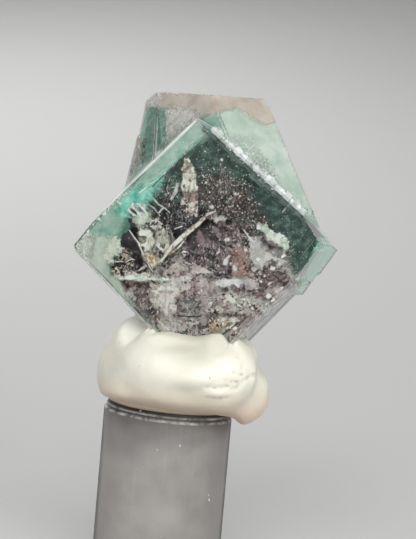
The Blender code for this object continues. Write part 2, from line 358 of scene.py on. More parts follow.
def lace_material(name, stops, grain, cover):
    """A torn veil: only cover of it is there, in shreds about grain millimetres across."""
    material, tree, shader = new_material(name)
    colour = ramp(tree, noise_value(tree, 0.25, detail=6, roughness=0.7), stops)
    shreds = noise_value(tree, grain, detail=8, roughness=0.68, distortion=0.6)
    middle = 0.5 + (0.5 - cover) * 0.36
    there = spread(tree, shreds, middle - 0.015, middle + 0.015)
    rim = torn_rim(tree, shreds, 0.3, 0.7, 0.35, (0.0, 0.1))
    set_inputs(tree, shader, {"Base Color": colour, "Roughness": 0.4,
                              "Alpha": maths(tree, "MULTIPLY", there, rim)})
    return material


def web_material(name, stops, grain, width, **mapping):
    """A web of fine threads, where a noise about grain millimetres across passes its middle."""
    material, tree, shader = new_material(name)
    wave = noise_value(tree, grain, detail=6, roughness=0.62, distortion=1.0, **mapping)
    away = maths(tree, "ABSOLUTE", maths(tree, "SUBTRACT", wave, 0.5))
    thread = spread(tree, away, width, width * 0.6)
    rim = torn_rim(tree, noise_value(tree, 0.8), 0.3, 0.7, 0.4, (0.0, 0.15))
    set_inputs(tree, shader, {"Base Color": ramp(tree, noise_value(tree, 0.2), stops), "Roughness": 0.4,
                              "Alpha": maths(tree, "MULTIPLY", thread, rim)})
    return material


def chip_material(name, stops, roughness=0.4):
    material, tree, shader = new_material(name)
    set_inputs(tree, shader, {"Base Color": ramp(tree, noise_value(tree, 0.4, detail=2), stops),
                              "Roughness": roughness})
    return material


# Films and chips in the crystal.

# A film's cell lies under one face: the faces seen at its corners have at least this cosine.
SAME_FACE = 0.98
# How far a film's cells reach past its outline, its least depth, and the pixels tried round its outline.
FILM_MARGIN = 0.3
LEAST_DEPTH = 0.08
BORDER_PIXELS = 3
# A streak's width at its ends, as a share of its middle, and the corners of a round spot.
TAPER = 0.25
SPOT_CORNERS = 9
# Chips gather in clumps about this large. A chip's corners are uneven in angle, in reach and in depth.
CLUMP_SIZE = 0.9
CHIP_TURN = 0.3
CHIP_REACH = (0.6, 1.1)
CHIP_BULGE = 0.08


def distance_to_line(points, line):
    """How far each point is from a line through several."""
    line = np.array(line, float)
    nearest = np.full(len(points), np.inf)
    for start, end in zip(line, line[1:]):
        step = end - start
        share = np.clip((points - start) @ step / (step @ step), 0, 1)
        nearest = np.minimum(nearest, np.linalg.norm(points - start - share[:, None] * step, axis=1))
    return nearest


def distance_inside(points, outline):
    """How far each point lies inside the outline, negative outside."""
    closed = np.array([*outline, outline[0]], float)
    inside = np.zeros(len(points), bool)
    for start, end in zip(closed, closed[1:]):
        step = end - start
        crosses = (start[1] > points[:, 1]) != (end[1] > points[:, 1])
        with np.errstate(divide="ignore", invalid="ignore"):
            at = start[0] + (points[:, 1] - start[1]) * step[0] / step[1]
        inside ^= crosses & (points[:, 0] < at)
    nearest = distance_to_line(points, closed)
    return np.where(inside, nearest, -nearest)


def film(name, outline, depth, material, window=None, step=1.5, crumple=0.1, crumple_size=1.2):
    """A thin crumpled sheet in the crystal, drawn by its outline in the picture and its depth."""
    outline = np.array(outline, float)
    low, high = outline.min(0) - BORDER_PIXELS, outline.max(0) + BORDER_PIXELS
    columns, rows = (int(n) + 1 for n in (high - low) / step)
    pixels = np.array([(low[0] + i * step, low[1] + j * step) for j in range(rows) for i in range(columns)])
    inner = distance_inside(pixels, outline) * PIXEL
    points, faced = [], []
    for x, y in pixels:
        wave = noise.noise(Vector((x, y, depth * 20)) * PIXEL / crumple_size)
        points.append(seen_at(x, y, max(depth + crumple * wave, LEAST_DEPTH), window))
        faced.append(window[1] if window else face_seen(x, y))
    held = [p is not None and inside_stone(p) for p in points]
    faces = []
    for j in range(rows - 1):
        for i in range(columns - 1):
            first = j * columns + i
            corners = (first, first + 1, first + columns + 1, first + columns)
            if max(inner[c] for c in corners) > -FILM_MARGIN and all(held[c] for c in corners):
                if min(faced[first].dot(faced[c]) for c in corners) > SAME_FACE:
                    faces.append(corners)
    used = sorted({c for f in faces for c in f})
    index = {c: n for n, c in enumerate(used)}
    piece = mesh_piece(name, [points[c] for c in used], [tuple(index[c] for c in f) for f in faces],
                       material)
    point_values(piece.data, "rim", inner[used])


def streak(line, width):
    """The outline of a slender sliver along a line of pixels, tapering to both ends."""
    line = [Vector(p) for p in line]
    upper, lower = [], []
    for i, point in enumerate(line):
        ahead = (line[min(i + 1, len(line) - 1)] - line[max(i - 1, 0)]).normalized()
        full = TAPER + (1 - TAPER) * math.sin(math.pi * (i + 0.5) / len(line))
        side = Vector((-ahead.y, ahead.x)) * width / 2 * full
        upper.append(tuple(point + side))
        lower.append(tuple(point - side))
    return upper + lower[::-1]


def oval(x, y, width, height):
    """The outline of a round spot, a little uneven, in pixels."""
    angles = [math.tau * i / SPOT_CORNERS for i in range(SPOT_CORNERS)]
    return [(x + width / 2 * math.cos(angle) * (1 + 0.12 * math.sin(5 * i + x)),
             y + height / 2 * math.sin(angle)) for i, angle in enumerate(angles)]


def random_pixels(outline, count):
    """Pixels spread at random in an outline."""
    outline = np.array(outline, float)
    low, high = outline.min(0), outline.max(0)
    draw = np.random.default_rng(len(outline) * 1000 + count)
    found = np.empty((0, 2))
    while len(found) < count:
        tried = draw.uniform(low, high, (4 * count, 2))
        found = np.vstack([found, tried[distance_inside(tried, outline) > 0]])
    return found[:count]


def chips(name, outline, count, sizes, depths, material, window, long=1.5, tilt=0.9, clump=0.0, lean=None):
    """Many small angular chips behind an outline of pixels: up to long times as long as wide, tilted at
    random, leaning at random or by degrees, and with about the share clump left out between clumps."""
    draw = random.Random(name)
    points, faces = [], []
    for x, y in random_pixels(outline, count):
        if clump and noise.noise(Vector((x, y, 3.3)) * PIXEL / CLUMP_SIZE) < clump - 0.5:
            continue
        size = draw.uniform(0, 1) ** 2 * (sizes[1] - sizes[0]) + sizes[0]
        centre = seen_at(x, y, draw.uniform(*depths), window)
        turn = FACE_TURN @ Euler([draw.gauss(0, tilt) for _ in range(3)]).to_matrix()
        spin = draw.uniform(0, math.tau) if lean is None else math.radians(lean) + draw.gauss(0, 0.25)
        along = turn @ Vector((math.cos(spin), 0, math.sin(spin)))
        across = turn @ Vector((-math.sin(spin), 0, math.cos(spin)))
        corners = draw.choice((3, 4, 5, 6))
        if centre is None:
            continue
        stretch = draw.uniform(1, long)
        shape = []
        for i in range(corners):
            angle = math.tau * (i + draw.uniform(-CHIP_TURN, CHIP_TURN)) / corners
            reach = size / 2 * draw.uniform(*CHIP_REACH)
            corner = along * (math.cos(angle) * reach * stretch) + across * (math.sin(angle) * reach)
            corner += FRONT[1] * draw.uniform(-CHIP_BULGE, CHIP_BULGE) * size
            shape.append(centre + corner)
        if all(inside_stone(p) for p in shape):
            faces.append(tuple(range(len(points), len(points) + corners)))
            points += shape
    mesh_piece(name, points, faces, material, smooth=False)


# Zones of the stone, by their outlines in pixels.
DARK_ZONE = [
    (205, 127), (214, 133), (228, 143), (242, 155), (261, 172), (275, 184), (291, 199), (305, 213),
    (316, 230), (322, 243), (315, 250), (304, 274), (297, 279), (290, 262), (286, 248), (262, 232),
    (240, 222), (215, 212), (190, 205), (165, 200), (150, 196), (138, 205), (159, 181), (182, 156),
    (201, 138),
]
CORE_ZONE = [
    (150, 195), (187, 165), (212, 150), (240, 185), (262, 222), (285, 248), (298, 272), (294, 298),
    (266, 324), (240, 344), (160, 334), (118, 288), (108, 262), (118, 232), (136, 208),
]
HAZE_ZONE = [
    (226, 212), (246, 216), (264, 230), (288, 246), (300, 275), (298, 300), (266, 326), (240, 346),
    (156, 336), (134, 312), (118, 288), (150, 276), (160, 258), (178, 250), (200, 240), (226, 240),
]
BLACK_ZONE = [
    (140, 200), (165, 185), (187, 165), (215, 160), (245, 195), (236, 214), (214, 214), (196, 226),
    (180, 240), (172, 232), (160, 218), (148, 206),
]
LEFT_ZONE = [
    (114, 262), (132, 262), (146, 250), (152, 230), (170, 226), (176, 246), (160, 262), (156, 276),
    (112, 274),
]
LOWER_ZONE = [(118, 276), (190, 280), (250, 290), (290, 300), (262, 322), (240, 342), (160, 332)]
UPPER_LEFT_BAND = [
    (197, 118), (212, 135), (187, 155), (156, 179), (133, 206), (118, 232), (95, 250), (71, 247),
    (103, 203), (128, 179), (156, 150), (180, 127),
]
GREY_ZONE = [(158, 106), (196, 106), (200, 119), (181, 132), (163, 145), (158, 125)]
STRIP_ZONE = [(142, 140), (156, 124), (161, 140), (158, 150), (144, 162), (138, 166)]
SHELF_ZONE = [(118, 190), (124, 170), (130, 152), (136, 134), (143, 140), (141, 160), (128, 180)]
GLITTER_LINE = [(221, 141), (228, 139), (250, 158), (282, 188), (278, 194), (248, 168)]
PALE_SPECKS = [(226, 132), (248, 134), (282, 178), (266, 178), (240, 158)]
FILM_DOTS = [
    (206, 146), (226, 150), (248, 176), (262, 205), (268, 226), (244, 220), (210, 205), (196, 175),
]
CORNER_FROST = [(145, 102), (153, 91), (161, 95), (159, 112), (149, 114)]
STRIATED = [(134, 206), (142, 201), (148, 208), (147, 217), (140, 222), (134, 216)]
CLUSTER = [(208, 300), (226, 294), (262, 302), (262, 320), (236, 328), (206, 332)]
FAR_LEFT = [
    (110, 254), (122, 248), (138, 256), (150, 268), (152, 288), (136, 292), (122, 284), (111, 272),
]
TIP_ZONE = [(74, 247), (86, 230), (93, 236), (88, 262)]

# Colours as a ramp's stops.
BLACK = tones((0.006, 0.005, 0.006), (0.05, 0.042, 0.045), 0.3, 0.7)
BROWN = [(0.3, (0.05, 0.028, 0.026)), (0.5, (0.14, 0.085, 0.078)), (0.7, (0.3, 0.2, 0.18))]
CREAM = [(0.34, (0.4, 0.3, 0.24)), (0.45, (0.85, 0.76, 0.67)), (0.6, (1, 0.97, 0.92))]
PALE_YELLOW = [
    (0.32, (0.14, 0.12, 0.09)), (0.42, (0.55, 0.53, 0.42)), (0.5, (0.8, 0.79, 0.66)),
    (0.62, (1, 1, 0.93)),
]
GOLD = [(0.3, (0.25, 0.14, 0.07)), (0.45, (0.72, 0.52, 0.3)), (0.62, (1, 0.95, 0.75))]
HAZE = [
    (0.35, (0.12, 0.06, 0.065)), (0.43, (0.58, 0.41, 0.41)), (0.52, (0.96, 0.78, 0.76)),
    (0.6, (1, 0.96, 0.94)),
]
GREY = [(0.32, (0.42, 0.37, 0.36)), (0.5, (0.72, 0.69, 0.66)), (0.66, (0.92, 0.91, 0.88))]
PURPLE = [(0.34, (0.02, 0.012, 0.016)), (0.5, (0.1, 0.062, 0.078)), (0.68, (0.37, 0.26, 0.29))]
SHADE = tones((0.08, 0.045, 0.048), (0.25, 0.165, 0.165))
RED = [(0.3, (0.16, 0.06, 0.055)), (0.48, (0.45, 0.28, 0.26)), (0.65, (0.7, 0.54, 0.5))]
WHITE = tones((0.9, 0.87, 0.86), (1, 0.98, 0.97), 0.3, 0.7)
MINT = tones((0.22, 0.78, 0.54), (0.5, 0.95, 0.74))
MINT_PALE = tones((0.38, 0.86, 0.66), (0.66, 1, 0.86))
MINT_WHITE = tones((0.62, 0.72, 0.6), (0.95, 1, 0.92))
TURQUOISE = tones((0.08, 0.56, 0.43), (0.45, 0.96, 0.8), 0.35, 0.6)
LIME = tones((0.66, 0.82, 0.6), (0.98, 1, 0.88))
SAGE = [(0.33, (0.2, 0.44, 0.34)), (0.5, (0.36, 0.58, 0.47)), (0.65, (0.52, 0.7, 0.6))]
GREY_SAGE = tones((0.5, 0.58, 0.48), (0.7, 0.76, 0.66))
# Painted shade: the dark green of the dark surroundings seen through the square face.
DARK_GREEN_SHADE = [(0.33, (0.006, 0.028, 0.022)), (0.5, (0.03, 0.075, 0.062)), (0.68, (0.13, 0.22, 0.185))]

# Colour zones as films below the faces: outline, depth, window, pixels to a cell, colours, grain and
# settings of the material. One with a cover is lace. Some are painted shade, light or reflection, as marked.
ZONES = {
    # Painted shade: a dark sheet standing in for the dark surroundings seen through the square face.
    "dark_film": (DARK_ZONE, 1.0, FRONT, 1.5, DARK_GREEN_SHADE, 0.3, {"detail": 9}),
    # Painted shade along the upper right edge, like the dark film.
    "dark_rim": ([(202, 119), (226, 141), (252, 163), (280, 190), (304, 213), (309, 226), (300, 222),
        (270, 194), (240, 166), (203, 130)], 0.25, None, 1.0,
        tones((0.006, 0.028, 0.022), (0.13, 0.22, 0.185), 0.33, 0.68), 0.3, {}),
    "upper_left_zone": (UPPER_LEFT_BAND, 0.6, None, 1.2, SAGE, 0.5, {"solid": 0.7, "detail": 7}),
    "lower_left_zone": ([(56, 250), (84, 236), (104, 234), (120, 238), (113, 250), (108, 264), (111, 275),
        (121, 282), (127, 296), (140, 316), (172, 340), (140, 345), (118, 325), (94, 296)], 0.5, None, 1.2,
        GREY_SAGE, 0.5, {"solid": 0.9, "edge": (-0.1, 0.15)}),
    "turquoise_zone": ([(114, 206), (120, 196), (132, 189), (146, 182), (160, 177), (162, 184), (153, 197),
        (149, 206), (146, 216), (136, 222), (126, 219), (118, 214)], 0.5, FRONT, 1.5, TURQUOISE, 0.5,
        {"edge": (-0.2, 0.35), "solid": 0.9, "ragged": 0.3}),
    "lime_zone": ([(133, 216), (142, 211), (150, 213), (149, 221), (140, 226), (134, 223)], 0.45, FRONT,
        1.0, LIME, 0.3, {"edge": (-0.15, 0.2), "ragged": 0.2}),
    "left_depths": ([(60, 247), (100, 200), (150, 176), (146, 205), (124, 235), (116, 262), (126, 290),
        (168, 338), (140, 340), (95, 295)], 2.0, FRONT, 2.0, SAGE, 0.8, {}),
    "right_tip": ([(320, 238), (343, 250), (332, 267), (318, 278), (303, 294), (294, 292), (297, 281),
        (304, 274), (316, 249)], 0.4, None, 1.0, MINT_PALE, 0.4, {"solid": 0.95}),
    "lower_right_zone": ([(303, 294), (286, 308), (265, 328), (249, 341), (240, 338), (258, 320),
        (280, 300), (296, 288)], 0.45, None, 1.0, tones((0.36, 0.4, 0.38), (0.86, 0.88, 0.85)), 0.2,
        {"solid": 0.9}),
    # Painted light: the upper right side face, lit from above.
    "pale_zone": ([(205, 124), (218, 111), (226, 107), (238, 106), (246, 112), (256, 117), (264, 121),
        (275, 112), (283, 130), (290, 142), (298, 157), (306, 181), (316, 207), (319, 224), (305, 215),
        (290, 200), (270, 180), (250, 162), (228, 144), (214, 132)], 0.35, None, 2.0,
        tones((0.5, 0.66, 0.54), (0.78, 0.88, 0.77)), 0.8, {"solid": 0.85, "edge": (-0.1, 0.25)}),
    "teal_triangle": ([(197, 119), (208, 113), (218, 111), (222, 126), (227, 144), (213, 133)], 0.3, None,
        1.5, tones((0.24, 0.5, 0.4), (0.46, 0.7, 0.6)), 0.6, {"solid": 0.8}),
    # Painted reflection: light from a pale surrounding, seen in the top of the rear crystal.
    "tan_zone": ([(153, 87), (216, 88), (270, 93), (282, 120), (266, 125), (250, 117), (240, 108),
        (228, 109), (216, 113), (199, 120), (180, 132), (163, 144), (158, 125), (155, 110)], 0.3, None, 0.8,
        tones((0.5, 0.38, 0.3), (0.78, 0.67, 0.58)), 1.2, {"solid": 0.8}),
    "grey_zone": (GREY_ZONE, 0.2, None, 1.0, tones((0.64, 0.64, 0.59), (0.96, 0.96, 0.91)), 0.25,
        {"solid": 0.85, "edge": (-0.1, 0.3), "ragged": 0.3}),
    "teal_strip": ([(145, 104), (158, 108), (160, 118), (164, 128), (166, 143), (150, 158), (134, 173),
        (138, 150), (140, 135), (141, 120)], 0.6, None, 0.7, tones((0.3, 0.6, 0.47), (0.56, 0.86, 0.74)),
        0.5, {"solid": 0.9}),
    "nick_wall": ([(148, 108), (164, 108), (166, 143), (150, 158), (144, 162)], 0.12, None, 0.4,
        tones((0.12, 0.3, 0.24), (0.34, 0.52, 0.44)), 0.3, {}),
    "corner_zone": (CORNER_FROST, 0.15, None, 0.8, WHITE, 0.2, {"edge": (-0.1, 0.3), "ragged": 0.3}),
    "edge_frost": ([(69, 246), (90, 218), (126, 182), (130, 187), (97, 223), (78, 247)], 0.1, None, 0.8,
        WHITE, 0.2, {"cover": 0.75}),
    "tip_zone": ([(62, 247), (82, 224), (98, 236), (96, 258), (80, 264)], 0.3, None, 1.0, GREY_SAGE, 0.3,
        {"edge": (0, 0.4), "solid": 0.9}),
    "brown_veil": ([(198, 180), (222, 172), (240, 182), (258, 204), (274, 230), (262, 233), (240, 223),
        (215, 213), (200, 210)], 0.96, FRONT, 1.5, tones((0.012, 0.008, 0.008), (0.12, 0.08, 0.07)), 0.3,
        {"cover": 0.7}),
    "shelf_zone": (SHELF_ZONE, 0.25, None, 0.8, tones((0.34, 0.32, 0.27), (0.78, 0.75, 0.68)), 0.4,
        {"solid": 0.8}),
}
# Patches of the core: outline, depth, colours, how torn the rim is in millimetres, and the size of the
# shards.
PATCHES = {
    "haze": (HAZE_ZONE, 1.75, HAZE, 0.35, 0.22),
    "lower_light": ([(200, 288), (222, 290), (236, 296), (224, 306), (212, 322), (200, 330), (196, 312)],
        1.6, tones((0.4, 0.31, 0.31), (0.72, 0.61, 0.6)), 0.3, 0.5),
    "grey_right": ([(248, 236), (262, 238), (276, 246), (288, 250), (298, 272), (296, 282), (284, 270),
        (272, 260), (262, 268), (252, 264), (250, 250)], 1.45, GREY, 0.2, 0.4),
    "grey_low_right": ([(246, 294), (262, 298), (284, 304), (298, 282), (302, 290), (276, 314), (262, 318),
        (252, 308)], 1.3, tones((0.55, 0.58, 0.52), (0.92, 0.95, 0.88)), 0.2, 0.6),
    "lilac_patch": ([(243, 281), (250, 280), (258, 282), (259, 287), (255, 290), (245, 289)], 1.2,
        tones((0.55, 0.47, 0.47), (0.8, 0.71, 0.71)), 0.06, 0.4),
    "pink_band": ([(266, 289), (275, 286), (285, 287), (290, 290), (284, 296), (272, 297), (266, 294)], 1.2,
        tones((0.6, 0.5, 0.49), (0.9, 0.82, 0.8)), 0.08, 0.4),
    "purple_middle": ([(181, 246), (190, 236), (202, 226), (222, 222), (236, 228), (232, 246), (231, 264),
        (226, 276), (212, 277), (196, 268), (184, 262)], 1.35, PURPLE, 0.3, 0.2),
    "purple_upper": ([(198, 208), (222, 205), (246, 215), (252, 232), (240, 242), (214, 230)], 1.4, PURPLE,
        0.35, 0.16),
    "red_patch": ([(230, 249), (236, 246), (244, 247), (248, 256), (249, 268), (246, 277), (238, 276),
        (231, 264)], 1.2, RED, 0.12, 0.3),
    "red_web": ([(238, 262), (248, 260), (249, 270), (246, 277), (240, 276)], 1.1,
        tones((0.07, 0.02, 0.02), (0.52, 0.3, 0.25), 0.38, 0.55), 0.1, 0.1),
    "brown_right": ([(268, 266), (273, 263), (277, 267), (285, 272), (289, 278), (293, 283), (288, 286),
        (275, 286), (268, 288), (263, 291), (260, 288), (264, 278)], 1.1, SHADE, 0.1, 0.3),
    "small_hole": ([(263, 237), (267, 239), (270, 244), (274, 248), (270, 249), (265, 245)], 0.9, PURPLE,
        0.08, 0.2),
    "mint_streak": ([(255, 223), (260, 222), (272, 231), (284, 236), (288, 242), (288, 248), (280, 246),
        (272, 242), (263, 234)], 0.85, MINT_WHITE, 0.12, 0.25),
    "white_patch": ([(213, 283), (219, 279), (225, 278), (232, 278.5), (240, 279), (242, 283), (239.5, 288),
        (235, 285.5), (228, 286), (220, 287)], 1.0, WHITE, 0.05, 0.4),
    "light_shard": ([(191, 270), (197, 266), (203, 267), (208, 270), (213, 272.5), (209, 274.5), (200, 274),
        (195, 272.5)], 1.05, tones((0.68, 0.6, 0.58), (0.98, 0.92, 0.9)), 0.03, 0.3),
    "dark_crack": ([(241, 288), (250, 290), (259, 292.5), (267, 294), (280, 298), (282, 301), (272, 302),
        (262, 296), (250, 293), (241, 290.5)], 1.05, BROWN, 0.06, 0.2),
    "cream_cluster": ([(225, 301), (231, 299), (240, 301), (243, 306), (240, 311), (228, 312), (219, 314),
        (219, 309), (225, 306)], 1.05, CREAM, 0.08, 0.25),
    "cream_bar": ([(216, 319), (218, 314.5), (225, 317), (235, 317), (242, 317), (239, 322), (228, 323),
        (218, 322.5)], 1.0, CREAM, 0.06, 0.2),
    "cluster_slit": ([(221, 315.5), (228, 313.5), (242, 313), (241, 316), (228, 316.5)], 0.95, BROWN, 0.05,
        0.15),
    "cluster_black": ([(226, 296), (232, 295), (236, 299), (230, 301), (226, 300)], 0.95, BLACK, 0.08, 0.1),
    "cluster_fringe": ([(211, 312), (217, 309), (219, 314), (216, 320), (214, 326), (208, 326), (211, 318)],
        0.95, tones((0.01, 0.005, 0.006), (0.2, 0.12, 0.12), 0.35, 0.6), 0.12, 0.12),
    "purple_web": ([(242, 303), (250, 302), (258, 306), (262, 314), (252, 318), (244, 313)], 1.0,
        [(0.38, (0.1, 0.04, 0.05)), (0.55, (0.45, 0.32, 0.33)), (0.68, (0.8, 0.7, 0.7))], 0.15, 0.15),
    "gold_web": ([(208, 323), (214, 322), (226, 323), (224, 330), (214, 333), (208, 330)], 0.9,
        [(0.38, (0.03, 0.015, 0.01)), (0.55, (0.5, 0.34, 0.2)), (0.68, (0.85, 0.72, 0.5))], 0.12, 0.12),
    "dark_grey": ([(177, 299), (190, 297), (201, 301), (204, 309), (192, 313), (178, 310)], 1.2,
        [(0.38, (0.08, 0.06, 0.065)), (0.55, (0.22, 0.18, 0.185)), (0.68, (0.6, 0.56, 0.55))], 0.2, 0.14),
    "black_upper": ([(146, 201), (160, 183), (181, 158), (202, 156), (216, 166), (236, 184), (250, 206),
        (244, 216), (224, 214), (206, 216), (192, 228), (176, 244), (170, 232), (160, 216)], 1.25, BLACK,
        0.3, 0.2),
    "black_left": ([(119, 241), (124, 233), (128, 230), (132, 233), (137.5, 242), (139, 249), (143, 259),
        (137, 255), (130, 249), (123, 247)], 0.8, BLACK, 0.04, 0.4),
    "black_slit": ([(127, 218), (131, 219), (135, 224), (134, 229), (130.5, 225.5)], 0.5, BLACK, 0.03, 0.3),
    "swirl": ([(117, 256), (122, 253), (130, 255), (133, 259), (128, 262), (119, 260)], 0.85,
        tones((0.03, 0.02, 0.02), (0.6, 0.5, 0.42), 0.38, 0.6), 0.06, 0.12),
    "black_lower": ([(111, 266), (114, 261), (122, 261), (133, 260), (140, 264), (142, 269), (134, 273),
        (122, 273), (113, 271)], 0.9, BLACK, 0.12, 0.12),
    "red_lower": ([(139, 265), (146, 262), (151, 268), (152, 274), (143, 274)], 0.95, RED, 0.06, 0.2),
    "cream_fringe": ([(112, 270), (124, 273), (140, 272), (152, 273), (154, 277), (134, 278), (116, 276)],
        0.75, CREAM, 0.15, 0.1),
    "pale_left": ([(138, 232), (141, 228), (150, 229), (154, 236), (153, 247), (148, 252), (142, 248),
        (139, 240)], 0.85, PALE_YELLOW, 0.06, 0.35),
    "pale_left_2": ([(156, 232), (163, 229), (169, 236), (170, 248), (165, 254), (159, 250), (156, 242)],
        0.95, PALE_YELLOW, 0.08, 0.25),
    "pale_curls": ([(136, 222), (146, 218), (160, 218), (169, 226), (168, 234), (156, 232), (150, 228),
        (139, 228)], 1.05,
        [(0.36, (0.02, 0.02, 0.02)), (0.5, (0.55, 0.52, 0.47)), (0.62, (0.95, 0.92, 0.87))], 0.15, 0.1),
    "pale_behind": ([(136, 228), (150, 222), (170, 226), (174, 240), (172, 256), (162, 268), (152, 262),
        (142, 250)], 1.2,
        [(0.35, (0.12, 0.09, 0.07)), (0.5, (0.5, 0.44, 0.36)), (0.65, (0.88, 0.83, 0.74))], 0.15, 0.14),
    "pale_haze_left": ([(106, 245), (114, 240), (121, 238), (122, 247), (113, 256), (110, 264), (104, 256)],
        0.45, tones((0.6, 0.64, 0.52), (0.85, 0.86, 0.74)), 0.3, 0.3),
    "haze_top": ([(206, 211), (214, 206), (226, 209), (232, 216), (222, 222), (210, 220)], 1.15, HAZE, 0.2,
        0.2),
    "gold_spots": ([(142, 254), (150, 252), (157, 256), (157, 263), (152, 268), (146, 262)], 0.75, GOLD,
        0.08, 0.12),
    "mint_crack": ([(113, 276), (134, 275), (150, 276), (160, 277), (174, 280), (160, 281), (134, 280.5),
        (118, 279)], 0.7, MINT_WHITE, 0.06, 0.3),
    "brown_fringe": ([(124, 281), (136, 280.5), (148, 281), (151, 287), (145, 289), (136, 286), (126, 289)],
        0.8, tones((0.015, 0.008, 0.006), (0.3, 0.18, 0.13), 0.4, 0.6), 0.1, 0.12),
    "brown_hole": ([(131, 291), (137, 289), (143, 291), (149, 300), (147, 305), (139, 301), (133, 297)],
        0.9, SHADE, 0.08, 0.3),
    "cream_haze": ([(146, 286), (152, 282), (164, 283), (176, 290), (178, 300), (172, 316), (160, 314),
        (150, 302)], 1.15, [(0.35, (0.5, 0.4, 0.36)), (0.5, (0.85, 0.75, 0.7)), (0.62, (1, 0.97, 0.94))],
        0.25, 0.16),
    "low_left_hole": ([(136, 300), (146, 304), (154, 318), (158, 328), (148, 320), (138, 308)], 1.0,
        tones((0.12, 0.09, 0.09), (0.4, 0.34, 0.32), 0.38, 0.6), 0.15, 0.15),
    "small_diamond": ([(147, 311), (152, 306), (157, 311), (152, 317)], 0.8, BLACK, 0.04, 0.2),
    "veil_top": ([(183, 148), (186, 155), (191, 163), (196, 174), (198.5, 190), (190, 193), (181, 191),
        (182.5, 178), (182, 168), (184, 160)], 0.5,
        [(0.36, (0.22, 0.17, 0.13)), (0.5, (0.62, 0.59, 0.49)), (0.64, (0.95, 0.95, 0.85))], 0.03, 0.16),
    "veil_middle": ([(183, 186), (190, 189), (197, 184), (198, 196), (196, 205), (189, 206), (182, 200)],
        0.88, tones((0.2, 0.11, 0.08), (0.5, 0.36, 0.3)), 0.08, 0.25),
    "veil_foot": ([(183, 198), (190, 203), (197, 200), (198, 210), (194, 218), (186, 216), (183, 207)],
        0.82, [(0.4, (0.12, 0.07, 0.05)), (0.5, (0.7, 0.6, 0.5)), (0.62, (1, 0.96, 0.9))], 0.12, 0.1),
    "wall_glint": ([(261, 316), (265, 315), (273, 316), (268, 322), (264, 320)], 0.3, WHITE, 0.03, 0.5),
    "wall_light": ([(242, 341), (252, 332), (268, 320), (276, 318), (252, 340), (246, 344)], 0.4,
        tones((0.6, 0.62, 0.58), (0.82, 0.84, 0.8)), 0.08, 0.4),
}
# Round spots: middle, width and height in pixels, depth and colours.
SPOTS = [
    (225.6, 262, 6, 7, 0.9, WHITE), (227, 239.5, 5, 4, 0.9, CREAM), (258.5, 259, 5, 5.5, 0.9, WHITE),
    (272, 268.5, 6.5, 5.5, 0.9, WHITE), (245.5, 250, 4, 5, 1.0, CREAM), (234.5, 268, 4, 8, 0.95, WHITE),
    (260.5, 281.5, 3, 3, 0.9, WHITE), (282, 288.5, 5, 3.5, 0.9, WHITE), (268.7, 296, 6, 5, 0.9, CREAM),
    (274, 298.5, 4, 3, 0.9, GOLD), (250, 302.6, 3.5, 3, 0.8, WHITE), (247, 306, 4, 3.5, 0.8, WHITE),
    (245.5, 309.6, 3.5, 3, 0.8, WHITE), (258, 319.6, 3.5, 4, 0.7, WHITE), (188, 278, 8, 4, 0.9, WHITE),
    (211, 207, 5, 4, 0.8, WHITE), (212, 231, 4, 4, 0.9, CREAM), (259, 227, 5, 6, 0.75, WHITE),
    (284, 240, 7, 6, 0.75, MINT_WHITE), (193, 209, 4, 4, 0.7, WHITE), (196, 215, 3, 4, 0.7, CREAM),
    (151, 258, 6, 4, 0.65, GOLD), (87, 254, 3, 3, 0.3, WHITE), (222, 160, 3, 3, 0.6, MINT_WHITE),
    (206, 183, 3, 3, 0.6, WHITE), (221, 182, 4, 3, 0.6, WHITE), (236, 194, 3, 3, 0.6, WHITE),
]
